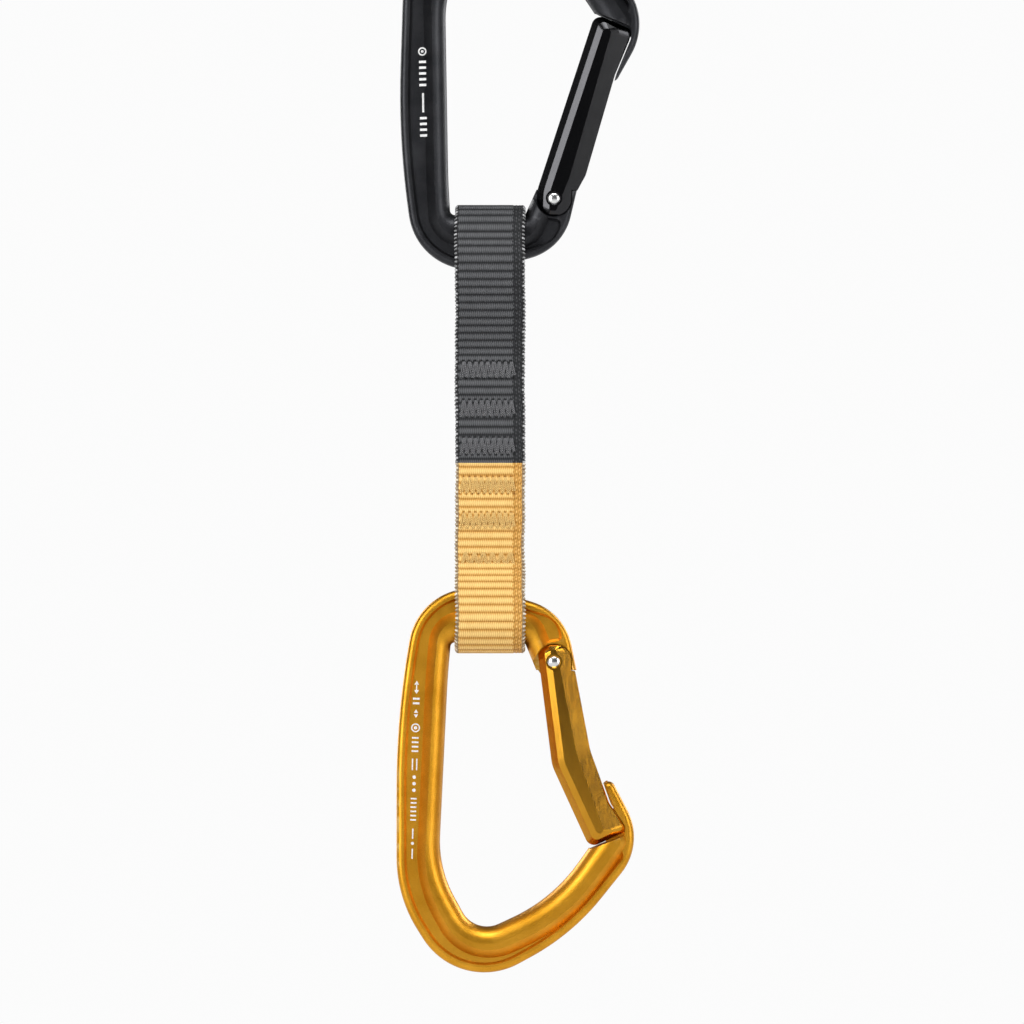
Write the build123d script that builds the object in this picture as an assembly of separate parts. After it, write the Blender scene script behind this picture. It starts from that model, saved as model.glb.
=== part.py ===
"""A climbing quickdraw: two carabiners joined by a sewn webbing sling.

It hangs from a bolt hanger as it is used. Z is up, X points from the spines to the
gates, and the front faces -Y. The origin is where the hanger bears, at the inside top
of the upper carabiner, on the sling's centre line. All sizes are in millimetres.

Each carabiner is drawn in a plane of its own, with its gate rivet at (0, 0): u runs
from the spine to the gate and w runs away from the sling. Points of that plane are
complex numbers, u + w * 1j. The lower carabiner hangs as drawn. The upper one is the
same forging turned over, with a straight gate in place of the bent one.
"""
import os
from math import cos, radians, sin

from build123d import *

os.makedirs("parts", exist_ok=True)

# Whole object
sling_length = 116.4          # outside of the top loop to outside of the bottom loop
upper_tilt = 1.8              # how far the upper carabiner leans, in degrees
rivet_offset = 16.6           # rivets, to the right of the sling's centre line
seat_height = 69.35           # hanger seat above the upper rivet
rivet_to_seat = 3.3           # upper rivet down to the inside of the top loop
seat_to_rivet = 4.4           # inside of the keeper down to the lower rivet

# Clearances
gap = 0.3                     # between parts of different bodies
pin_clearance = 0.05          # radial, rivet in the tongue and plunger in its bore

# Forged body
rib_half = 5.0                # half the thickness of the rib that the rope runs on
web_half = 2.7                # half the thickness of the web
flange_half = 3.6             # half the thickness of the outer flange, nose and heel
edge_radius = 1.5             # rounding of the outside edge
rib_round = 4.2               # rounding of the rib towards the inside
rib_chamfer = 0.7             # easing of the rib towards the web
flange_width = 2.0
step_width = 0.6              # slope between flange and web
wall_width = 1.5              # slope between web and rib
rib_width_spine = 3.5
rib_width_basket = 5.9
tongue_half = 1.6             # half the thickness of the hinge and nose tongues

# Outside of the body, from the hinge round the spine to the knob and back: point, radius
body_outside = [
    (6.25 + 4.2j, 1.8), (2.8 - 12.8j, 14.7), (-16.6 - 18.9j, 31), (-35.2 - 19.1j, 16.2),
    (-40.9 + 14j, 219), (-40.9 + 61j, 35.3), (-24.6 + 86.8j, 18.8), (4.7 + 70.9j, 61),
    (23.6 + 47.3j, 15), (15.1 + 31j, 1.7), (5 + 33.5j, 2), (-7 + 4.2j, 2),
]
# Inside of the body, from the heel to the gate's tip
body_inside = [
    (-3.9 + 4.0j, 1.0), (-7.6 - 5.0j, 1.2), (-26.8 - 5.0j, 1.3), (-27.6 + 3.8j, 200),
    (-30 + 53.8j, 29.8), (-20.5 + 71.1j, 7.2), (-0.5 + 61.8j, 43), (11.6 + 45.0j, 1.0),
]
# The mouth that the gate closes, between the hinge and the knob
mouth_bottom = 2.2
mouth = [
    (4 + 36j, 1), (11.5 + 44j, 1), (13 + 41j, 1), (10.5 + 34j, 0.5), (13.5 + 31.2j, 1),
    (30 + 24j, 1), (30 + mouth_bottom * 1j, 1), (-10 + mouth_bottom * 1j, 1), (-6 + 20j, 1),
]
# Width of the rib along each side of the inside outline, the last across the mouth
rib_widths = [
    4.0, rib_width_basket, rib_width_spine, rib_width_spine, 5.0, rib_width_basket,
    rib_width_basket, 5.0,
]
rib_radii = [2.0, 5.0, 6.5, 200, 32, 12.5, 48, 2.5]
# Key of the nose that the gate's tip closes over
nose_tongue = [
    (15.6 + 38.0j, 0.6), (19 + 43.5j, 0.6), (19 + 45.2j, 0.6), (13.6 + 47.0j, 0.6),
    (10.9 + 40.8j, 0.6),
]

# Gates
gate_open_angle = 32.0        # full opening, in degrees
gate_half = 4.75              # half the thickness, at the flat facet
bevel_half = 4.0              # where the shallow bevel meets the steep one
side_half = 1.9               # where the steep bevel meets the side
slot_half = tongue_half + gap  # half the width of the hinge fork and of the tip slot
ear_radius = 4.45
shoulder = 2.5                # where the gate widens, below the hinge ears
tip_end = 48.4                # inner corner of the tip
bent_gate_outline = [
    (-ear_radius - ear_radius * 1j, 4.4), (ear_radius - ear_radius * 1j, 4.4),
    (ear_radius + (shoulder - 0.1) * 1j, 0.3), (5.5 + shoulder * 1j, 0.4),
    (9.4 + 23j, 15), (14.4 + 36.9j, 4), (18.3 + 42.8j, 2), (18 + 44.9j, 0.8),
    (9.3 + tip_end * 1j, 0.5), (-0.5 + 27j, 12), (-ear_radius + 0.3j, 6),
]
bent_gate_bevels = [
    (-ear_radius - ear_radius * 1j, 3), (4.0 - ear_radius * 1j, 3),
    (9.4 + 23j, 15), (17.1 + 44.8j, 2.4), (9.3 + tip_end * 1j, 2.4), (-0.5 + 27j, 12),
]
straight_gate_outline = [
    (-ear_radius - ear_radius * 1j, 4.4), (ear_radius - ear_radius * 1j, 4.4),
    (ear_radius + (shoulder - 0.1) * 1j, 0.3), (6.0 + shoulder * 1j, 0.6),
    (8.1 + 6.6j, 4), (14.9 + 33j, 5), (18.5 + 42.5j, 3), (18.2 + 44.9j, 0.8),
    (9.2 + tip_end * 1j, 0.5), (-ear_radius + 2j, 3),
]
straight_gate_bevels = [
    (-ear_radius - ear_radius * 1j, 3), (4.0 - ear_radius * 1j, 3),
    (7.3 + 4.5j, 6), (17.6 + 44.9j, 2.4), (9.2 + tip_end * 1j, 2.4),
    (-ear_radius + 2j, 8),
]
# How far the levels of the bevel lie inside the outline, side by side, and their radii
side_level = ([-1.0, -4.0, -4.0, 0.0, 0.0, 0.0], [3.0, 3.0, 12, 2.4, 2.4, 10])
steep_level = ([0.3, 1.6, 1.6, 1.2, 1.7, 1.7], [2.2, 2.2, 12, 1.6, 1.6, 9])
flat_level = ([1.2, 3.6, 3.6, 2.4, 3.3, 3.3], [0.45, 0.45, 12, 1.2, 1.2, 8])
fork_depth = 5.6              # floor of the hinge fork, from the rivet
tip_slot_radius = 40.0        # top of the tip slot, from the rivet
bent_bore_angle = 9.5         # spring bore, in degrees from straight down
straight_bore_angle = 17.0

# Rivet, plunger and spring
rivet_radius = 1.5
rivet_head_radius = rivet_radius + 0.25
spotface_radius = rivet_head_radius + 0.4
spotface_depth = 0.9
plunger_radius = 1.5
plunger_length = 6.0
cam_radius = 4.0              # cam of the hinge tongue, gate shut
cam_rise = 1.2                # per radian of opening
bore_end = 22.0               # end of the spring bore, from the rivet
spring_wire = 0.25            # radius of the wire
spring_coils = 12

# Sling
webbing_width = 18.0
webbing_thickness = 1.7
upper_loop_radius = 6.0       # inside of the top loop, round the upper carabiner
upper_loop_half = 7.8         # widest half gap of the relaxed top loop
upper_loop_length = 39.0
lower_loop_length = 21.5
keeper_thickness = 0.5
keeper_radius = 5.9           # inside of the keeper
keeper_width = 12.0
keeper_arm = 2.0              # straight end of the keeper above its bend
lower_loop_radius = keeper_radius + keeper_thickness + 0.05
tack_width = 14.0
tack_height = 4.8
tack_shift = -0.8             # tacks sit a little left of the centre line
tack_depths = [42.8, 52.8, 62.6, 72.8, 82.0, 92.3]   # tack centres below the loop top
tack_stitches = 9
thread = 0.5                  # thread width
thread_rise = 0.25            # how far the thread stands out of the webbing

upper_rivet_z = -seat_height
loop_top_z = upper_rivet_z - rivet_to_seat + webbing_thickness
loop_bottom_z = loop_top_z - sling_length
lower_rivet_z = loop_bottom_z + webbing_thickness + keeper_thickness - seat_to_rivet


def spot(p, y=0.0):
    """A point of the carabiner plane as a point in space."""
    return Vector(p.real, y, -p.imag)


def turned(p, angle):
    """A point turned about the rivet in the gate's opening direction, in degrees."""
    return p * complex(cos(radians(angle)), sin(radians(angle)))


def corner(before, at, after, radius):
    """Where the arc that rounds a corner begins, bulges and ends."""
    back = (before - at) / abs(before - at)
    ahead = (after - at) / abs(after - at)
    bisector = (back + ahead) / abs(back + ahead)
    half_sine = abs((back.conjugate() * bisector).imag)
    half_cosine = (back.conjugate() * bisector).real
    reach = radius * half_cosine / half_sine
    centre = at + bisector * radius / half_sine
    return at + back * reach, centre - bisector * radius, at + ahead * reach


def outline(corners, y=0.0):
    """A closed outline of straight sides and rounded corners."""
    count = len(corners)
    arcs = [
        corner(corners[i - 1][0], corners[i][0], corners[(i + 1) % count][0], corners[i][1])
        for i in range(count)
    ]
    edges = []
    for i in range(count):
        start, middle, end = arcs[i]
        edges.append(ThreePointArc(spot(start, y), spot(middle, y), spot(end, y)))
        edges.append(Line(spot(end, y), spot(arcs[(i + 1) % count][0], y)))
    return Wire(edges)


def slab(corners, low, high):
    """An outline made solid between two distances behind the carabiner plane."""
    return extrude(Face(outline(corners, low)), amount=high - low, dir=(0, 1, 0))


def tapered(low_corners, high_corners, low, high):
    """Sloping solids between two outlines, in front of the plane and behind it."""
    back = Solid.make_loft([outline(low_corners, low), outline(high_corners, high)], True)
    return Part() + back + mirror(back, about=Plane.XZ)


def inset(corners, distances, rounder=0.0):
    """The outline with each side moved to its left; side i starts at corner i."""
    count = len(corners)
    moved = []
    for i in range(count):
        here = corners[i][0]
        side_before = here - corners[i - 1][0]
        side_after = corners[(i + 1) % count][0] - here
        a = side_before / abs(side_before)
        b = side_after / abs(side_after)
        start = here + a * 1j * distances[i - 1]
        other = here + b * 1j * distances[i]
        along = ((other - start) * b.conjugate()).imag / (a * b.conjugate()).imag
        moved.append((start + a * along, corners[i][1] + rounder))
    return moved


def web_outline():
    """Top edge of the sunken web, inside the flange; it closes under the rib."""
    moved = inset(body_outside, [-flange_width] * len(body_outside), -flange_width)
    hinge_end = moved[1][0] + (moved[0][0] - moved[1][0]) * 0.42
    nose_end = moved[7][0] + (moved[8][0] - moved[7][0]) * 0.88
    under_rib = [(12 + 46j, 2), (-15 + 30j, 5), (-13 - 3j, 2)]
    return [(hinge_end, 1.2), (moved[1][0], 6)] + moved[2:8] + [(nose_end, 2)] + under_rib


def grown(corners, distance):
    """A clockwise outline with all its sides moved outwards."""
    return inset(corners, [distance] * len(corners), distance)


def level(corners, insets, radii):
    """An outline moved side by side, with radii of its own."""
    return [(point, radius) for (point, _), radius in zip(inset(corners, insets), radii)]


def at_height(shape, half):
    """Edges of a solid at a distance in front of the plane and behind it."""
    return shape.edges().filter_by(
        lambda e: abs(abs(e.center().Y) - half) < 0.01
        and abs(abs((e @ 0).Y) - half) < 0.01
    )


def forging():
    """The bent bar before the gate is fitted: flange, web, rib and the open mouth."""
    bar = slab(body_outside, -flange_half, flange_half)
    bar = fillet(at_height(bar, flange_half), edge_radius)
    web = web_outline()
    bar -= tapered(grown(web, -step_width), web, web_half, flange_half + 0.01)
    rib_top = level(body_inside, rib_widths, rib_radii)
    rib_edge = grown(rib_top, rib_chamfer)
    rib = tapered(grown(rib_edge, wall_width), rib_edge, web_half, rib_half - rib_chamfer)
    rib += tapered(rib_edge, rib_top, rib_half - rib_chamfer, rib_half)
    hole = slab(body_inside, -9, 9)
    around = slab(grown(body_outside, 3), -rib_half, rib_half) - hole
    inner = [e for e in at_height(around, rib_half) if hole.distance_to(e.center()) < 0.01]
    return ((bar + rib) & fillet(inner, rib_round)) - slab(mouth, -9, 9)


def bar_direction(angle):
    """Direction of a gate's spring bore, leaning off the carabiner's length."""
    return turned(1j, -angle)


def pin(start, end, radius):
    """A round bar between two points of the carabiner plane."""
    away = spot(end - start)
    return Plane(origin=spot(start), z_dir=away) * Cylinder(
        radius, away.length, align=(Align.CENTER, Align.CENTER, Align.MIN)
    )


def disc(radius, low, high):
    """A round slab on the rivet's line, between two distances behind the plane."""
    turn = Plane(origin=(0, low, 0), z_dir=(0, 1, 0))
    return turn * Cylinder(radius, high - low, align=(Align.CENTER, Align.CENTER, Align.MIN))


def body(gate_outline, bore_angle):
    """A carabiner body: forging with the seats for one of the gates cut into it."""
    pocket = inset(gate_outline, [-gap] * len(gate_outline), 0.1)
    heel = [
        (0j, 0.1), (turned(-ear_radius - gap, gate_open_angle), 0.1),
        (turned(-ear_radius - gap + 12j, gate_open_angle), 0.1), (2 + 12j, 0.1),
    ]
    shape = forging()
    shape -= slab(pocket, tongue_half, 9) + slab(pocket, -9, -tongue_half)
    middle = [(-20 + 8j, 1), (40 + 8j, 1), (40 + 60j, 1), (-20 + 60j, 1)]
    shape -= slab(pocket, -tongue_half, tongue_half) & slab(middle, -9, 9)
    for low in (tongue_half, -9):
        shape -= slab(heel, low, low + 9 - tongue_half)
        shape -= disc(ear_radius + gap, low, low + 9 - tongue_half)
    shape += slab(nose_tongue, -tongue_half, tongue_half)
    shape += cam(bore_angle)
    return shape - disc(rivet_radius + pin_clearance, -tongue_half - 1, tongue_half + 1)


def cam(bore_angle):
    """The hinge tongue, rising under the plunger as the gate opens."""
    steps = 4
    rise = []
    for i in range(steps + 1):
        opening = gate_open_angle * i / steps
        radius = cam_radius + cam_rise * radians(opening)
        rise.append(spot(turned(bar_direction(bore_angle) * radius, opening)))
    first = bar_direction(bore_angle) * cam_radius
    last = bar_direction(bore_angle - gate_open_angle) * (
        cam_radius + cam_rise * radians(gate_open_angle)
    )
    edges = [
        ThreePointArc(spot(turned(first, -90)), spot(turned(first, -45)), spot(first)),
        Spline(rise),
        ThreePointArc(spot(last), spot(turned(last, 35)), spot(turned(last, 70))),
        Line(spot(turned(last, 70)), spot(turned(first, -90))),
    ]
    face = Pos(0, -tongue_half, 0) * Face(Wire(edges))
    return extrude(face, amount=2 * tongue_half, dir=(0, 1, 0))


def envelope(corners):
    """The bevelled bar that a gate is cut from."""
    sides = level(corners, *side_level)
    steep = level(corners, *steep_level)
    flat = level(corners, *flat_level)
    shape = slab(sides, -side_half, side_half)
    shape += tapered(sides, steep, side_half, bevel_half)
    return shape + tapered(steep, flat, bevel_half, gate_half)


def gate(gate_outline, bevels, bore_angle):
    """A solid gate: hinge fork, spring bore, rivet seats and the slotted tip."""
    shape = Part() + (slab(gate_outline, -gate_half, gate_half) & envelope(bevels))
    along = bar_direction(bore_angle)
    across = along * -1j
    fork = [
        (along * fork_depth - across * 20, 0.5), (along * -12 - across * 20, 0.5),
        (along * -12 + across * 20, 0.5), (along * fork_depth + across * 20, 0.5),
    ]
    shape -= slab(fork, -slot_half, slot_half)
    left, low = nose_tongue[3][0], nose_tongue[4][0]
    lean = (left - low) / abs(left - low)
    edge = low + lean * 1j * 0.35
    slot = [
        (edge - lean * 6, 0.5), (edge - lean * 6 + 30, 0.5),
        (edge + lean * 20 + 30, 0.5), (edge + lean * 20, 0.5),
    ]
    shape -= slab(slot, -slot_half, slot_half) - disc(tip_slot_radius, -9, 9)
    shape -= pin(along * (fork_depth - 1), along * bore_end, plunger_radius + pin_clearance)
    shape -= disc(rivet_radius, -9, 9)
    seat = gate_half - spotface_depth
    return shape - disc(spotface_radius, seat, 9) - disc(spotface_radius, -9, -seat)


def rivet():
    """The hinge rivet, with a low domed head in each spotface."""
    seat = gate_half - spotface_depth
    rise = 0.7
    ball = (rivet_head_radius ** 2 + rise ** 2) / (2 * rise)
    shape = disc(rivet_radius, -seat, seat)
    for side in (-1, 1):
        dome = Pos(0, side * (seat + rise - ball), 0) * Sphere(ball)
        low = seat if side > 0 else -seat - 2
        shape += dome & disc(rivet_head_radius, low, low + 2)
    return shape


def plunger(bore_angle):
    """The pin that the spring presses against the cam."""
    along = bar_direction(bore_angle)
    start = cam_radius + gap
    ball = 2.4
    shape = pin(along * start, along * (start + plunger_length), plunger_radius)
    tip = Plane(origin=spot(along * (start + ball)), z_dir=spot(along)) * Sphere(ball)
    rest = pin(along * (start + ball), along * (start + plunger_length), plunger_radius)
    return shape & (tip + rest)


def spring(bore_angle):
    """The closing spring, wound between the plunger and the end of its bore."""
    along = bar_direction(bore_angle)
    start = cam_radius + gap + plunger_length + gap + spring_wire
    height = bore_end - 0.05 - spring_wire - start
    coil = plunger_radius - spring_wire - 0.1
    path = Helix(height / spring_coils, height, coil)
    wire = sweep(Plane(origin=path @ 0, z_dir=path % 0) * Circle(spring_wire), path=path)
    return Plane(origin=spot(along * start), z_dir=spot(along)) * wire


def side(y, z):
    """A point of the sling's side view."""
    return Vector(0, y, z)


def half_loop(top, bottom_or_up, points, start_out, end_out):
    """One side of a loop as a smooth curve, and its mirror image."""
    right = [side(y, top + bottom_or_up * z) for y, z in points]
    tangents = (
        side(start_out[0], bottom_or_up * start_out[1]),
        side(end_out[0], bottom_or_up * end_out[1]),
    )
    curve = Spline(right, tangents=tangents)
    return curve, curve.mirror(Plane.XZ)


def loop_hole(centre, away, radius, points, end_out):
    """Inside of a loop: a half circle closed by two curves that meet at a point."""
    curve, other = half_loop(centre, away, points, (0, 1), end_out)
    middle = side(0, centre - away * radius)
    cap = ThreePointArc(side(radius, centre), middle, side(-radius, centre))
    return Face(Wire([cap, curve, other]))


def sling_face():
    """Side view of the webbing: two loops joined by two sewn layers."""
    upper = loop_top_z - webbing_thickness - upper_loop_radius
    lower = loop_bottom_z + webbing_thickness + lower_loop_radius
    t = webbing_thickness
    wide = upper_loop_half
    long_up = loop_top_z - upper_loop_length
    reach = upper - long_up
    long_low = loop_bottom_z + lower_loop_length
    rise = long_low - lower
    upper_inner = [(upper_loop_radius, 0), (wide, 7.5), (0.6 * wide, 18), (0, reach)]
    upper_outer = [
        (upper_loop_radius + t, 0), (wide + t, 7.5), (0.6 * wide + 0.96 * t, 18.5),
        (t, reach + 3),
    ]
    r = lower_loop_radius
    lower_inner = [(r, 0), (r, keeper_arm), (0.75 * r, 0.56 * rise), (0, rise)]
    lower_outer = [
        (r + t, 0), (r + t, keeper_arm), (0.75 * r + 0.84 * t, 0.56 * rise + 0.54 * t),
        (t, rise + 2.5),
    ]
    top, top_other = half_loop(upper, -1, upper_outer, (0, 1), (0, 1))
    low, low_other = half_loop(lower, 1, lower_outer, (0, 1), (0, 1))
    first = upper_loop_radius + t
    last = r + t
    edges = [
        ThreePointArc(side(-first, upper), side(0, upper + first), side(first, upper)),
        top,
        Line(top @ 1, low @ 1),
        low,
        ThreePointArc(side(last, lower), side(0, lower - last), side(-last, lower)),
        low_other,
        Line(low_other @ 1, top_other @ 1),
        top_other,
    ]
    face = Face(Wire(edges))
    face -= loop_hole(upper, -1, upper_loop_radius, upper_inner, (-0.3, 1))
    return face - loop_hole(lower, 1, r, lower_inner, (-1, 1))


def bar_tack(depth):
    """One row of zigzag stitching, on both faces of the webbing and through it."""
    points = []
    for i in range(2 * tack_stitches + 1):
        x = tack_shift + tack_width * (i / (2 * tack_stitches) - 0.5)
        z = loop_top_z - depth + tack_height * (0.5 if i % 2 else -0.5)
        points.append(Vector(x, 0, z))
    zigzag = Part()
    for a, b in zip(points, points[1:]):
        along = (b - a).normalized()
        bar = Plane(origin=(a + b) / 2, x_dir=along, z_dir=(0, 1, 0))
        zigzag += bar * Box((b - a).length, thread, 2 * thread_rise)
    for point in points:
        zigzag += Pos(point) * Rot(90, 0, 0) * Cylinder(thread / 2, 2 * thread_rise)
    front = Pos(0, -webbing_thickness, 0) * zigzag
    back = Pos(0, webbing_thickness, 0) * zigzag
    legs = Part()
    for point in (points[0], points[-1]):
        legs += Pos(point) * Rot(90, 0, 0) * Cylinder(thread / 2, 2 * webbing_thickness)
    return front + back + legs


def keeper():
    """The U-shaped keeper that holds the lower carabiner in its loop."""
    lower = loop_bottom_z + webbing_thickness + lower_loop_radius
    outer = keeper_radius + keeper_thickness
    edges = []
    for radius in (outer, keeper_radius):
        edges.append(
            ThreePointArc(side(-radius, lower), side(0, lower - radius), side(radius, lower))
        )
        for sign in (-1, 1):
            end = side(sign * radius, lower + keeper_arm)
            edges.append(Line(side(sign * radius, lower), end))
    for sign in (-1, 1):
        edges.append(Line(
            side(sign * outer, lower + keeper_arm), side(sign * keeper_radius, lower + keeper_arm)
        ))
    face = Pos(-keeper_width / 2, 0, 0) * Face(Wire(edges))
    return extrude(face, amount=keeper_width, dir=(1, 0, 0))


def lower_place(shape):
    """A part drawn about its rivet, moved to the lower carabiner."""
    return Pos(rivet_offset, 0, lower_rivet_z) * shape


def upper_place(shape):
    """A part drawn about its rivet, turned over and moved to the upper carabiner."""
    return Pos(rivet_offset, 0, upper_rivet_z) * Rot(0, upper_tilt, 0) * Rot(180, 0, 0) * shape


def carabiner(place, name, gate_outline, bevels, bore_angle):
    """Writes the five pieces of one carabiner."""
    pieces = {
        "body": body(gate_outline, bore_angle),
        "gate": gate(gate_outline, bevels, bore_angle),
        "rivet": rivet(),
        "plunger": plunger(bore_angle),
        "gate_spring": spring(bore_angle),
    }
    for piece, shape in pieces.items():
        export_step(place(shape), f"parts/{name}_{piece}.step")


def sling():
    """Writes the webbing, its bar tacks and the keeper."""
    face = Pos(-webbing_width / 2, 0, 0) * sling_face()
    webbing = extrude(face, amount=webbing_width, dir=(1, 0, 0))
    for number, depth in enumerate(tack_depths, start=1):
        tack = bar_tack(depth)
        webbing -= tack
        export_step(tack, f"parts/bar_tack_{number}.step")
    export_step(webbing, "parts/sling_webbing.step")
    export_step(keeper(), "parts/keeper.step")


carabiner(upper_place, "upper", straight_gate_outline, straight_gate_bevels, straight_bore_angle)
carabiner(lower_place, "lower", bent_gate_outline, bent_gate_bevels, bent_bore_angle)
sling()
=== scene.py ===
"""Looks of a climbing quickdraw: anodised metal, woven webbing, its stitching and prints.

Lengths are in metres. mm turns millimetres into metres.
"""
import math
import random

import bmesh
import bpy
import numpy as np
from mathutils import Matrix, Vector
from mathutils.bvhtree import BVHTree


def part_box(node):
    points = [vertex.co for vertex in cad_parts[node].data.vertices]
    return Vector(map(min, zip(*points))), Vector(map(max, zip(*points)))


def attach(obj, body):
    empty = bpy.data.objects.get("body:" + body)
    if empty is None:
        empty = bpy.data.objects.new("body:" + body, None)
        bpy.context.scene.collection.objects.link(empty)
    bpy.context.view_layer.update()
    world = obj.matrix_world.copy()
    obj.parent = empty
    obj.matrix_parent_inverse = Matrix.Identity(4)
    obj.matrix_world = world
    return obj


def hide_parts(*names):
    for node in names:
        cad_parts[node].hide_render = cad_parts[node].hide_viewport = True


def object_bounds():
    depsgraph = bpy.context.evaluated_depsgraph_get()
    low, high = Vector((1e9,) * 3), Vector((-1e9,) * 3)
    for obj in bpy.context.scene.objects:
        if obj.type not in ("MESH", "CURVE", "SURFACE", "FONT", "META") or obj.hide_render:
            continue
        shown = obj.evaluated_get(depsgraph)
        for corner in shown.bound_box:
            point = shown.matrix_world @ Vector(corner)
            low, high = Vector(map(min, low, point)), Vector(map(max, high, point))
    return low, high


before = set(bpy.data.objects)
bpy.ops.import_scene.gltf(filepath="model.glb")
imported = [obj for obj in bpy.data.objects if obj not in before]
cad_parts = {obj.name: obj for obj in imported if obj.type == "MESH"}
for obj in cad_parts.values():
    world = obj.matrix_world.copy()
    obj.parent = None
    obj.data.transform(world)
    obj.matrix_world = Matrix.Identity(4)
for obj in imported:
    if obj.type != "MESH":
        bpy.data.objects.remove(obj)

cad_low, cad_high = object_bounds()
mm = 0.001
random.seed(7)

# Webbing, as the CAD solid has it
web_low, web_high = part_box("sling_webbing")
width = web_high.x - web_low.x
loop_top, loop_bottom = web_high.z, web_low.z
thick = 1.7 * mm
layer = thick / 2                     # from the middle of the sling to a layer's middle
upper_radius = 6.0 * mm + layer       # middle of the webbing round the upper carabiner
lower_radius = 6.45 * mm + layer
upper_length = 39 * mm
lower_length = 21.5 * mm
colour_change = loop_top - 67 * mm    # charcoal above, amber below
rib_pitch = 2.08 * mm
bead_pitch = 1.04 * mm


# Small helpers ---------------------------------------------------------------

def link(obj):
    bpy.context.scene.collection.objects.link(obj)
    return obj


def mesh_piece(name, verts, faces, material, smooth=True):
    mesh = bpy.data.meshes.new(name)
    mesh.from_pydata([tuple(v) for v in verts], [], faces)
    mesh.validate()
    mesh.materials.append(material)
    if smooth:
        mesh.polygons.foreach_set("use_smooth", [True] * len(mesh.polygons))
    return link(bpy.data.objects.new(name, mesh))


class Nodes:
    """A material's node tree, with short calls to add to it."""

    def __init__(self, name):
        self.material = bpy.data.materials.new(name)
        self.material.use_nodes = True
        self.tree = self.material.node_tree
        self.shader = self.tree.nodes["Principled BSDF"]

    def add(self, kind, **inputs):
        node = self.tree.nodes.new(kind)
        for key, value in inputs.items():
            self.set(node, key.replace("_", " "), value)
        return node

    def set(self, node, key, value):
        socket = node.inputs[key]
        if isinstance(value, bpy.types.NodeSocket):
            self.tree.links.new(value, socket)
        else:
            socket.default_value = value

    def local(self):
        return self.add("ShaderNodeTexCoord").outputs["Object"]

    def noise(self, vector, scale, detail=2.0, rough=0.5):
        return self.add("ShaderNodeTexNoise", Vector=vector, Scale=scale, Detail=detail,
                        Roughness=rough).outputs["Fac"]

    def ramp(self, value, *stops):
        node = self.tree.nodes.new("ShaderNodeValToRGB")
        self.tree.links.new(value, node.inputs["Fac"])
        points = node.color_ramp.elements
        while len(points) < len(stops):
            points.new(0.5)
        for point, (place, colour) in zip(points, stops):
            point.position = place
            grey = isinstance(colour, float)
            point.color = (colour, colour, colour, 1) if grey else (*colour, 1)
        return node.outputs["Color"]

    def math(self, how, a, b=0.0):
        node = self.tree.nodes.new("ShaderNodeMath")
        node.operation = how
        for socket, value in zip(node.inputs, (a, b)):
            if isinstance(value, bpy.types.NodeSocket):
                self.tree.links.new(value, socket)
            else:
                socket.default_value = value
        return node.outputs[0]

    def mix(self, factor, a, b, blend="MIX"):
        node = self.tree.nodes.new("ShaderNodeMix")
        node.data_type = "RGBA"
        node.blend_type = blend
        for key, value in ((0, factor), (6, a), (7, b)):
            socket = node.inputs[key]
            if isinstance(value, bpy.types.NodeSocket):
                self.tree.links.new(value, socket)
            else:
                socket.default_value = (*value, 1) if isinstance(value, tuple) else value
        return node.outputs[2]

    def bump(self, height, distance, strength=1.0, normal=None):
        node = self.add("ShaderNodeBump", Height=height, Distance=distance, Strength=strength)
        if normal is not None:
            self.tree.links.new(normal, node.inputs["Normal"])
        return node.outputs["Normal"]

    def attribute(self, name):
        node = self.tree.nodes.new("ShaderNodeAttribute")
        node.attribute_name = name
        return node.outputs["Fac"]

    def finish(self, **inputs):
        for key, value in inputs.items():
            self.set(self.shader, key.replace("_", " "), value)
        return self.material


# Materials -------------------------------------------------------------------

def anodised(name, dark, light, edge, rough, grain=0.5, coat=0.0, rubbed=True):
    """Anodised aluminium: fine blasted grain, cloudy colour, and edges rubbed bright."""
    m = Nodes(name)
    place = m.local()
    fine = m.noise(place, 5200.0, 2.0, 0.7)
    cloud = m.noise(place, 140.0, 3.0)
    tone = m.math("ADD", m.math("MULTIPLY", fine, 0.55), m.math("MULTIPLY", cloud, 0.45))
    colour = m.ramp(tone, (0.32, dark), (0.68, light))
    if rubbed:
        sharp = m.tree.nodes.new("ShaderNodeNewGeometry").outputs["Pointiness"]
        worn = m.ramp(sharp, (0.535, 0.0), (0.62, 1.0))
        patch = m.ramp(m.noise(place, 420.0, 4.0, 0.65), (0.42, 0.0), (0.62, 0.7))
        colour = m.mix(m.math("MULTIPLY", worn, patch), colour, edge)
    scratch = m.noise(m.add("ShaderNodeMapping", Vector=place,
                            Scale=(2200.0, 2200.0, 160.0)).outputs[0], 1.0, 2.0)
    gloss = m.math("ADD", m.math("MULTIPLY", scratch, 0.14), rough - 0.07)
    normal = m.bump(fine, 0.00004, grain)
    return m.finish(Base_Color=colour, Metallic=1.0, Roughness=gloss, Normal=normal,
                    Coat_Weight=coat, Coat_Roughness=0.22)


def bright_steel(name, colour, rough):
    m = Nodes(name)
    place = m.local()
    line = m.noise(m.add("ShaderNodeMapping", Vector=place,
                         Scale=(900.0, 9000.0, 900.0)).outputs[0], 1.0, 3.0)
    tone = m.ramp(line, (0.3, tuple(c * 0.8 for c in colour)), (0.7, colour))
    gloss = m.math("ADD", m.math("MULTIPLY", line, 0.15), rough)
    return m.finish(Base_Color=tone, Metallic=1.0, Roughness=gloss,
                    Normal=m.bump(line, 0.00002, 0.4))


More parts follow.
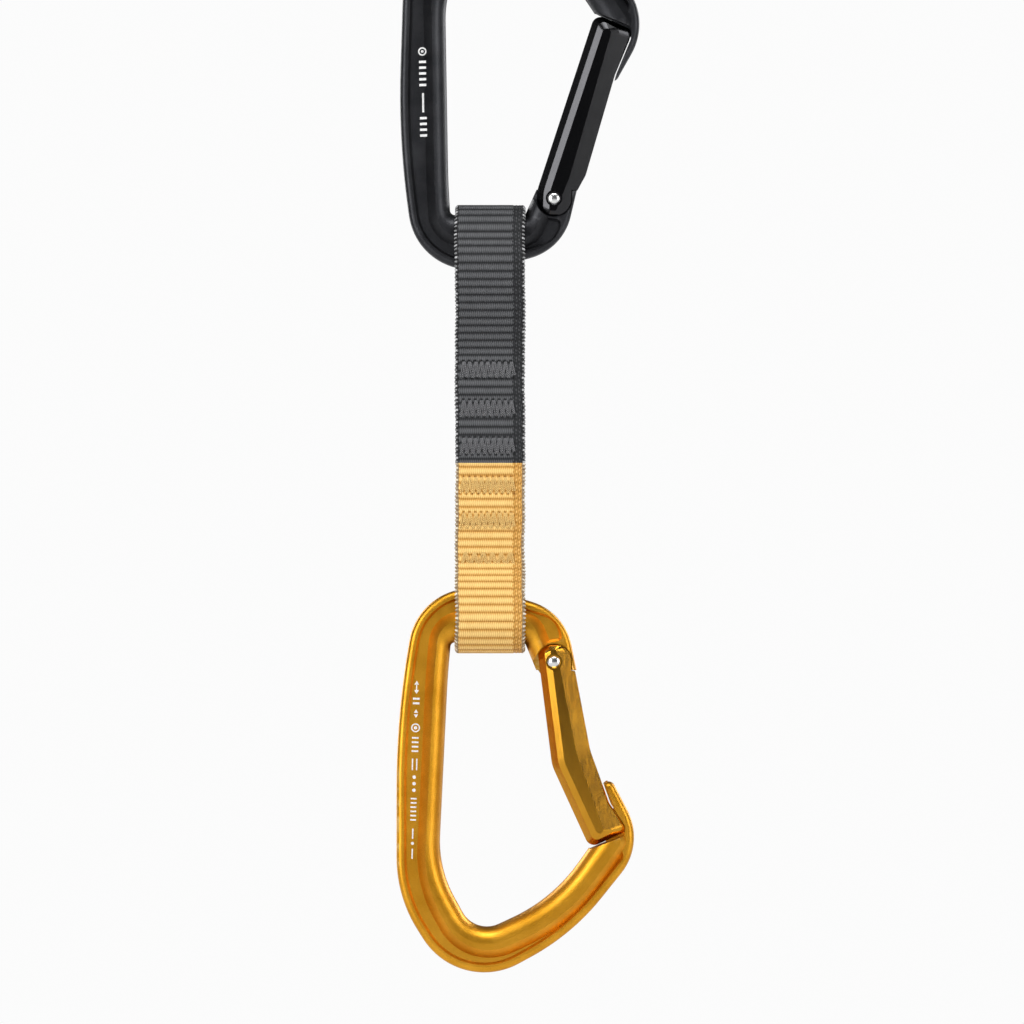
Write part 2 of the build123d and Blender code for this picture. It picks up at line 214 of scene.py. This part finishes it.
def woven(name, painted_groove_shade, body, painted_crest_highlight, bead_dark, bead_light, sheen, rough=0.62):
    """Woven nylon: ribs and beads come from the mesh, yarns and fibres from here, and the rib
    relief also paints the colour: painted shade in the grooves, painted highlight on the crests
    and bead tops.
    """
    m = Nodes(name)
    uv = m.tree.nodes.new("ShaderNodeUVMap").outputs["UV"]
    split = m.add("ShaderNodeSeparateXYZ", Vector=uv)
    across, along = split.outputs[0], split.outputs[1]
    relief = m.attribute("relief")
    bead = m.attribute("bead")
    # yarns run along the webbing and lean one way, then the other, from rib to rib
    lean = m.math("PINGPONG", along, rib_pitch / mm)
    turn = m.math("MULTIPLY", m.math("ADD", across, m.math("MULTIPLY", lean, 0.22)), 11.4)
    yarn = m.math("ADD", m.math("MULTIPLY", m.math("SINE", turn), 0.5), 0.5)
    fibre = m.noise(m.add("ShaderNodeMapping", Vector=uv, Scale=(24.0, 5.0, 1.0)).outputs[0],
                    1.0, 3.0, 0.7)
    cloud = m.noise(m.add("ShaderNodeMapping", Vector=uv, Scale=(0.5, 0.3, 1.0)).outputs[0],
                    1.0, 3.0)
    # the rib relief sets most of the colour: painted shade in the grooves, painted highlight on
    # the crests
    level = m.math("ADD", m.math("MULTIPLY", relief, 0.62), m.math("MULTIPLY", yarn, 0.22))
    level = m.math("ADD", level, m.math("MULTIPLY", fibre, 0.3))
    level = m.math("ADD", level, m.math("MULTIPLY", cloud, 0.12))
    colour = m.ramp(level, (0.22, painted_groove_shade), (0.62, body), (1.0, painted_crest_highlight))
    # selvedge beads: grey edge yarn colour, painted lighter on each bead's top as a painted
    # highlight
    bead_colour = m.ramp(m.math("ADD", bead, m.math("MULTIPLY", fibre, 0.25)),
                         (0.45, bead_dark), (1.0, bead_light))
    colour = m.mix(m.math("GREATER_THAN", bead, 0.02), colour, bead_colour)
    normal = m.bump(m.math("ADD", yarn, m.math("MULTIPLY", fibre, 0.7)), 0.00011, 0.9)
    return m.finish(Base_Color=colour, Roughness=rough, Normal=normal, Sheen_Weight=sheen,
                    Sheen_Roughness=0.4, Specular_IOR_Level=0.35)


def thread(name, dark, light):
    """Sewing thread: two plies twisted together."""
    m = Nodes(name)
    place = m.local()
    wave = m.add("ShaderNodeTexWave", Vector=place, Scale=1400.0, Distortion=1.5)
    wave.bands_direction = "DIAGONAL"
    colour = m.mix(wave.outputs["Fac"], dark, light)
    return m.finish(Base_Color=colour, Roughness=0.5, Sheen_Weight=0.06, Sheen_Roughness=0.4,
                    Normal=m.bump(wave.outputs["Fac"], 0.00008, 0.8))


def rubber(name, dark, light):
    m = Nodes(name)
    place = m.local()
    fine = m.noise(place, 2500.0, 3.0)
    return m.finish(Base_Color=m.ramp(fine, (0.3, dark), (0.7, light)), Roughness=0.7,
                    Normal=m.bump(fine, 0.00005, 0.6))


def paint(name, colour):
    """Thin printed marking, slightly uneven."""
    m = Nodes(name)
    patch = m.noise(m.local(), 2600.0, 3.0)
    tone = m.ramp(patch, (0.3, tuple(c * 0.75 for c in colour)), (0.6, colour))
    return m.finish(Base_Color=tone, Roughness=0.55)


materials = {
    "black_satin": anodised("black_satin", (0.022, 0.0225, 0.025), (0.062, 0.063, 0.068),
                            (0.22, 0.22, 0.23), 0.46, 0.7, 0.1),
    "black_gloss": anodised("black_gloss", (0.012, 0.012, 0.014), (0.02, 0.02, 0.022),
                            (0.12, 0.12, 0.13), 0.17, 0.08, 0.6, False),
    "amber_satin": anodised("amber_satin", (0.54, 0.225, 0.006), (0.88, 0.43, 0.035),
                            (0.98, 0.72, 0.28), 0.40, 0.7, 0.12),
    "amber_gloss": anodised("amber_gloss", (0.55, 0.24, 0.008), (0.68, 0.33, 0.02),
                            (0.95, 0.7, 0.28), 0.16, 0.08, 0.3, False),
    "rivet_steel": bright_steel("rivet_steel", (0.86, 0.86, 0.85), 0.16),
    "spring_steel": bright_steel("spring_steel", (0.5, 0.5, 0.51), 0.3),
    # webbing colours run groove, body, crest: the groove colour is painted shade, the crest
    # colour a painted highlight
    "webbing_charcoal": woven("webbing_charcoal", (0.003, 0.0035, 0.004), (0.012, 0.013, 0.015),
                              (0.11, 0.112, 0.118), (0.006, 0.006, 0.007), (0.62, 0.62, 0.63),
                              0.05),
    "webbing_amber": woven("webbing_amber", (0.22, 0.080, 0.008), (0.66, 0.32, 0.055),
                           (0.97, 0.68, 0.25), (0.30, 0.20, 0.10), (0.95, 0.86, 0.70), 0.05),
    "thread_charcoal": thread("thread_charcoal", (0.014, 0.014, 0.016), (0.22, 0.22, 0.23)),
    "thread_amber": thread("thread_amber", (0.50, 0.24, 0.04), (0.97, 0.70, 0.26)),
    "keeper_rubber": rubber("keeper_rubber", (0.03, 0.016, 0.01), (0.07, 0.04, 0.025)),
    "print_white": paint("print_white", (0.85, 0.85, 0.84)),
}

finishes = {
    "upper_body": "black_satin", "upper_gate": "black_gloss", "upper_plunger": "spring_steel",
    "upper_rivet": "rivet_steel", "upper_gate_spring": "spring_steel",
    "lower_body": "amber_satin", "lower_gate": "amber_gloss", "lower_plunger": "spring_steel",
    "lower_rivet": "rivet_steel", "lower_gate_spring": "spring_steel",
    "keeper": "keeper_rubber",
}
for node, finish in finishes.items():
    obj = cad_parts[node]
    for slot in obj.material_slots:
        slot.material = materials[finish]


# Webbing ---------------------------------------------------------------------

def smooth_points(points, count=24):
    """Points of a smooth curve through the given ones."""
    pts = [np.array(p, float) for p in points]
    pts = [2 * pts[0] - pts[1]] + pts + [2 * pts[-1] - pts[-2]]
    out = []
    for a, b, c, d in zip(pts, pts[1:], pts[2:], pts[3:]):
        for i in range(count):
            t = i / count
            out.append(0.5 * (2 * b + (c - a) * t + (2 * a - 5 * b + 4 * c - d) * t * t
                              + (3 * b - a - 3 * c + d) * t ** 3))
    return out + [pts[-2]]


def even(points, step):
    """The same line in equal steps."""
    p = np.array(points)
    run = np.concatenate([[0], np.cumsum(np.linalg.norm(np.diff(p, axis=0), axis=1))])
    count = max(2, round(run[-1] / step))
    place = np.linspace(0, run[-1], count + 1)
    return np.stack([np.interp(place, run, p[:, k]) for k in range(2)], axis=1), place


def loop_line(centre, away, radius, side_points, far):
    """Side view (y, z) of one webbing layer round a loop, front to back."""
    front = [(-y, centre + away * z) for y, z in side_points]
    line = smooth_points([(-layer, far)] + [(-layer, far * 0.5 + front[0][1] * 0.5)] + front)
    sweep = []
    for i in range(1, 40):
        a = math.pi * i / 40
        sweep.append((-radius * math.cos(a), centre - away * radius * math.sin(a)))
    back = [(-y, z) for y, z in reversed(line)]
    return line + sweep + back


upper_centre = loop_top - thick - 6.0 * mm
lower_centre = loop_bottom + thick + 6.45 * mm
upper_reach = upper_length - thick - 6.0 * mm
lower_rise = lower_length - thick - 6.45 * mm
upper_line = loop_line(
    upper_centre, -1, upper_radius,
    [(layer, upper_reach + 3 * mm), (layer + 0.5 * mm, upper_reach - 2.5 * mm),
     (4.68 * mm + 0.48 * thick, 18.2 * mm), (7.8 * mm + layer, 7.5 * mm),
     (upper_radius + 0.55 * mm, 2.2 * mm), (upper_radius, 0)],
    colour_change)
lower_line = loop_line(
    lower_centre, 1, lower_radius,
    [(layer, lower_rise + 2.5 * mm), (4.84 * mm + 0.42 * thick, 0.56 * lower_rise + 0.27 * thick),
     (lower_radius, 2.0 * mm), (lower_radius, 0)],
    colour_change)


def holes_of(tack, count, high):
    """Where a tack's needle went through, as (x, z)."""
    low_box, high_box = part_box(tack)
    left, right = low_box.x + 0.3 * mm, high_box.x - 0.3 * mm
    middle = (low_box.z + high_box.z) / 2
    for i in range(2 * count + 1):
        x = left + (right - left) * i / (2 * count)
        yield x, middle + (high / 2 if i % 2 else -high / 2)


tack_counts = {1: 9, 2: 9, 3: 9, 4: 9, 5: 9, 6: 6}
tack_high = 4.4 * mm
hole_points = {n: list(holes_of(f"bar_tack_{n}", c, tack_high)) for n, c in tack_counts.items()}


def strip(name, line, material):
    """A woven strip along a line, with ribs, beaded edges and needle holes."""
    path, run = even(line, 0.17 * mm)
    ahead = np.gradient(path, axis=0)
    ahead /= np.linalg.norm(ahead, axis=1)[:, None]
    out = np.stack([-ahead[:, 1], ahead[:, 0]], axis=1)
    middle = path[len(path) // 2]
    inside = path.mean(axis=0)
    if np.dot(out[len(path) // 2], middle - inside) < 0:
        out = -out
    half = width / 2
    outer = np.linspace(-1, 1, 66)
    inner = np.linspace(1, -1, 22)
    ring = [(x, 1) for x in outer] + [(x, -1) for x in inner]
    xs = np.array([r[0] for r in ring])
    face = np.array([r[1] for r in ring], float)
    from_edge = (np.abs(xs) * half - (half - 0.8 * mm)) / (0.8 * mm)
    round_off = 1 - np.clip(from_edge, 0, 1) ** 2.5 * 0.86
    v = run[:, None]
    x = xs[None, :] * half
    ribs = np.abs(np.cos(math.pi * v / rib_pitch)) ** 0.55
    edge = np.clip((np.abs(x) - (half - 0.95 * mm)) / (0.3 * mm), 0, 1)
    margin = np.clip((x - (half - 3.3 * mm)) / (0.3 * mm), 0, 1) * (1 - edge)
    beads = 0.5 + 0.5 * np.sin(2 * math.pi * v / bead_pitch)
    slant = 0.5 + 0.5 * np.sin(2 * math.pi * (v / bead_pitch + x / (0.85 * mm) * 0.5))
    column = 0.5 + 0.5 * np.cos(2 * math.pi * x / (0.85 * mm))
    relief = ribs * (1 - margin) + margin * (0.35 * ribs + 0.65 * slant * column)
    relief = relief * (1 - edge) + edge * beads
    wobble = 0.10 * mm * np.sin(v / (5.3 * mm))
    wobble = wobble + 0.07 * mm * np.sin(v / (2.1 * mm) + 1)
    push = (relief - 0.6) * np.where(edge > 0.5, 0.16, 0.24) * mm
    side = np.sign(xs)[None, :] * edge * (beads - 0.5) * 0.34 * mm + wobble * np.abs(xs)[None, :]
    y_path, z_path = path[:, 0][:, None], path[:, 1][:, None]
    hole = np.zeros_like(relief)
    flat = np.abs(np.abs(y_path) - layer) < 0.1 * mm
    for points in hole_points.values():
        for hx, hz in points:
            near = np.exp(-((x - hx) ** 2 + (z_path - hz) ** 2) / (0.34 * mm) ** 2)
            hole = np.maximum(hole, np.where(flat, near, 0))
    push = push - hole * 0.35 * mm
    # needle holes painted darker in the colour relief: painted shade in the holes
    relief = relief * (1 - hole) - 0.25 * hole
    height = face[None, :] * (layer * round_off[None, :] + push)
    y = y_path + out[:, 0][:, None] * height
    z = z_path + out[:, 1][:, None] * height
    rows, cols = relief.shape
    verts = np.stack([np.broadcast_to(x, y.shape) + side, y, z], axis=2).reshape(-1, 3)
    faces = []
    for i in range(rows - 1):
        a, b = i * cols, (i + 1) * cols
        for j in range(cols):
            k = (j + 1) % cols
            faces.append((a + j, a + k, b + k, b + j))
    faces.append(tuple(range(cols - 1, -1, -1)))
    faces.append(tuple(range((rows - 1) * cols, rows * cols)))
    piece = mesh_piece(name, verts, faces, material)
    mesh = piece.data
    # bead colour: edge yarn, lighter on each bead's top as a painted highlight, every third bead
    # varied
    light = np.zeros_like(relief)
    every = 0.5 + 0.5 * np.sin(2 * math.pi * v / (bead_pitch * 3.0) + xs[None, :])
    light = np.where(edge > 0.6, 0.03 + beads * (0.45 + 0.55 * every), 0)
    # relief goes to the material, where it paints shade in the grooves and a highlight on the
    # crests
    for label, values in (("relief", relief), ("bead", light)):
        layer_data = mesh.attributes.new(label, "FLOAT", "POINT")
        layer_data.data.foreach_set("value", values.astype(np.float32).ravel())
    flat_x = np.broadcast_to(x, y.shape).ravel() / mm
    flat_v = np.broadcast_to(v, y.shape).ravel() / mm
    corners = np.empty(len(mesh.loops), np.int32)
    mesh.loops.foreach_get("vertex_index", corners)
    uv = np.stack([flat_x[corners], flat_v[corners]], axis=1)
    mesh.uv_layers.new(name="weave").data.foreach_set("uv", uv.astype(np.float32).ravel())
    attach(piece, "sling")
    return piece


upper_webbing = strip("webbing_upper", upper_line, materials["webbing_charcoal"])
lower_webbing = strip("webbing_lower", lower_line, materials["webbing_amber"])
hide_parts("sling_webbing")
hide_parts("sling_webbing")


# Bar tacks -------------------------------------------------------------------

def stitched(name, points, radius, material):
    """Zigzag stitches on both faces: each one rises from a hole and dives into the next."""
    curve = bpy.data.curves.new(name, "CURVE")
    curve.dimensions = "3D"
    curve.bevel_depth = radius
    curve.bevel_resolution = 2
    for face in (-1, 1):
        for shift in (0.0, 0.42 * mm):
            spline = curve.splines.new("NURBS")
            line = []
            for (ax, az), (bx, bz) in zip(points, points[1:]):
                for t, rise in ((0.0, 0.0), (0.18, 0.75), (0.5, 1.0), (0.82, 0.75)):
                    stray = random.uniform(-0.10, 0.10) * mm
                    y = face * (thick - 0.25 * mm + (0.42 * mm + shift * 0.3) * rise)
                    line.append((ax + (bx - ax) * t + stray + shift, y, az + (bz - az) * t))
            spline.points.add(len(line) - 1)
            for point, place in zip(spline.points, line):
                point.co = (*place, 1)
            spline.order_u = 3
            spline.use_endpoint_u = True
            spline.resolution_u = 3
    curve.materials.append(material)
    return link(bpy.data.objects.new(name, curve))


for number, points in hole_points.items():
    finish = "thread_charcoal" if number <= 3 else "thread_amber"
    piece = stitched(f"tack_thread_{number}", points, 0.2 * mm, materials[finish])
    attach(piece, "sling")
    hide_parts(f"bar_tack_{number}")


# Printed markings on the spines ------------------------------------------------

def bar(s, t, long, wide):
    low, high = t - wide / 2, t + wide / 2
    return [(s, low), (s + long, low), (s + long, high), (s, high)]


def arrowhead(s, t, size, way):
    return [(s, t), (s + way * size, t - size * 0.6), (s + way * size, t + size * 0.6)]


def round_dot(s, t, radius):
    turn = [math.tau * i / 16 for i in range(16)]
    return [(s + radius * math.cos(a), t + radius * math.sin(a)) for a in turn]


def ring_parts(s, t, radius, wide):
    parts = []
    for i in range(20):
        a, b = math.tau * i / 20, math.tau * (i + 1) / 20
        r, q = radius, radius - wide
        parts.append([(s + r * math.cos(a), t + r * math.sin(a)),
                      (s + r * math.cos(b), t + r * math.sin(b)),
                      (s + q * math.cos(b), t + q * math.sin(b)),
                      (s + q * math.cos(a), t + q * math.sin(a))])
    return parts


def marks(name, node, body, start, end, shapes):
    """Flat prints laid on the front of a carabiner, along a line given as (x, z)."""
    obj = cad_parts[node]
    tree = BVHTree.FromPolygons([v.co for v in obj.data.vertices],
                                [p.vertices for p in obj.data.polygons])
    along = Vector((end[0] - start[0], end[1] - start[1])).normalized()
    across = Vector((-along.y, along.x))
    verts, faces = [], []
    for shape in shapes:
        ring = []
        for s, t in shape:
            x, z = Vector(start) + along * s * mm + across * t * mm
            hit = tree.ray_cast(Vector((x, -0.05, z)), Vector((0, 1, 0)))[0]
            ring.append((x, (hit.y if hit else 0.0) - 0.00003, z))
        base = len(verts)
        count = len(ring)
        verts += [(x, y - 0.00003, z) for x, y, z in ring]
        verts += [(x, y + 0.0001, z) for x, y, z in ring]
        faces.append(tuple(base + i for i in range(count)))
        faces.append(tuple(base + count + i for i in reversed(range(count))))
        for i in range(count):
            j = (i + 1) % count
            faces.append((base + i, base + count + i, base + count + j, base + j))
    piece = mesh_piece(name, verts, faces, materials["print_white"], smooth=False)
    mesh = piece.data
    bm = bmesh.new()
    bm.from_mesh(mesh)
    bmesh.ops.recalc_face_normals(bm, faces=bm.faces)
    bm.to_mesh(mesh)
    bm.free()
    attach(piece, body)
    return piece


def two_arrows(s):
    return [arrowhead(s, 0, 1.0, 1), bar(s + 0.9, 0, 1.6, 0.28), arrowhead(s + 3.4, 0, 1.0, -1)]


lower_shapes = two_arrows(0) + [bar(4.4, 0, 0.5, 1.7), bar(5.6, 0, 0.5, 1.7)]
lower_shapes += [arrowhead(7.4, 0, 0.9, 1), arrowhead(9.6, 0, 0.9, -1)]
lower_shapes += ring_parts(12.2, 0, 1.15, 0.32) + [round_dot(12.2, 0, 0.42)]
lower_shapes += [bar(14.6 + 1.15 * i, 0, 0.42, 1.7) for i in range(4)]
lower_shapes += [bar(20.2, 0.55, 3.0, 0.32), bar(20.2, -0.55, 3.0, 0.32)]
lower_shapes += [round_dot(25.0 + 1.7 * i, 0, 0.45) for i in range(3)]
lower_shapes += [bar(30.4 + 1.1 * i, 0, 0.4, 1.5) for i in range(6)]
lower_shapes += [bar(38.4, 0, 2.6, 0.34), round_dot(42.2, 0, 0.4), bar(43.6, 0, 2.6, 0.34)]
body_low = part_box("lower_body")[0]
marks("marks_lower", "lower_body", "lower_carabiner",
      (body_low.x + 5.3 * mm, -0.1945), (body_low.x + 4.0 * mm, -0.2430), lower_shapes)

upper_shapes = ring_parts(1.2, 0, 1.1, 0.36) + [round_dot(1.2, 0, 0.35)]
upper_shapes += [bar(3.6 + 1.5 * i, 0, 0.62, 1.8) for i in range(5)]
upper_shapes += [bar(12.0, 0, 5.0, 0.5)]
upper_shapes += [bar(18.2 + 1.5 * i, 0, 0.62, 1.8) for i in range(4)]
marks("marks_upper", "upper_body", "upper_carabiner",
      (-0.0176, -0.0300), (-0.0172, -0.0550), upper_shapes)


# Floor, light and camera -------------------------------------------------------

def floor():
    m = Nodes("studio_floor")
    tone = m.noise(m.local(), 6.0, 2.0)
    m.finish(Base_Color=m.ramp(tone, (0.3, (0.80, 0.80, 0.80)), (0.7, (0.84, 0.84, 0.84))),
             Roughness=0.9)
    glow = m.add("ShaderNodeEmission", Color=(1, 1, 1, 1), Strength=0.97)
    seen = m.tree.nodes.new("ShaderNodeLightPath")
    mix = m.tree.nodes.new("ShaderNodeMixShader")
    m.tree.links.new(seen.outputs["Is Camera Ray"], mix.inputs[0])
    m.tree.links.new(m.shader.outputs[0], mix.inputs[1])
    m.tree.links.new(glow.outputs[0], mix.inputs[2])
    m.tree.links.new(mix.outputs[0], m.tree.nodes["Material Output"].inputs["Surface"])
    z = cad_low.z - 0.03
    size = 12.0
    plane = mesh_piece("floor", [(-size, -size, z), (size, -size, z), (size, size, z),
                                 (-size, size, z)], [(0, 1, 2, 3)], m.material, smooth=False)


def soft_light(name, place, aim, size, power):
    data = bpy.data.lights.new(name, "AREA")
    data.shape = "RECTANGLE"
    data.size, data.size_y = size
    data.energy = power
    lamp = link(bpy.data.objects.new(name, data))
    lamp.location = place
    lamp.rotation_euler = (Vector(aim) - Vector(place)).to_track_quat("-Z", "Y").to_euler()
    lamp.visible_camera = False
    return lamp


def surroundings():
    world = bpy.data.worlds.new("studio")
    bpy.context.scene.world = world
    world.use_nodes = True
    tree = world.node_tree
    tree.nodes.clear()
    seen = tree.nodes.new("ShaderNodeBackground")
    seen.inputs["Color"].default_value = (0.97, 0.97, 0.97, 1)
    seen.inputs["Strength"].default_value = 1.0
    dim = tree.nodes.new("ShaderNodeBackground")
    dim.inputs["Color"].default_value = (0.9, 0.93, 1.0, 1)
    dim.inputs["Strength"].default_value = 0.10
    path = tree.nodes.new("ShaderNodeLightPath")
    mix = tree.nodes.new("ShaderNodeMixShader")
    out = tree.nodes.new("ShaderNodeOutputWorld")
    tree.links.new(path.outputs["Is Camera Ray"], mix.inputs[0])
    tree.links.new(dim.outputs[0], mix.inputs[1])
    tree.links.new(seen.outputs[0], mix.inputs[2])
    tree.links.new(mix.outputs[0], out.inputs["Surface"])


def camera():
    data = bpy.data.cameras.new("camera")
    data.lens = 200
    data.sensor_width = 36
    cam = link(bpy.data.objects.new("camera", data))
    cam.location = (0.0057, -1.479, -0.1507)
    cam.rotation_euler = (math.radians(90), 0, 0)
    data.clip_start, data.clip_end = 0.05, 60
    bpy.context.scene.camera = cam


floor()
surroundings()
middle = (0, 0, -0.14)
soft_light("light_left", (-0.95, -1.0, 0.10), middle, (0.45, 1.0), 11)
soft_light("light_right", (1.0, -0.75, 0.05), middle, (0.35, 1.0), 6)
soft_light("light_top", (0.0, -0.6, 0.95), middle, (0.9, 0.45), 10)
soft_light("light_back_left", (-0.8, 0.9, 0.15), middle, (0.5, 0.9), 6)
soft_light("light_back_right", (0.9, 0.8, 0.3), middle, (0.5, 0.9), 7)
camera()
bpy.context.scene.view_settings.view_transform = "Standard"
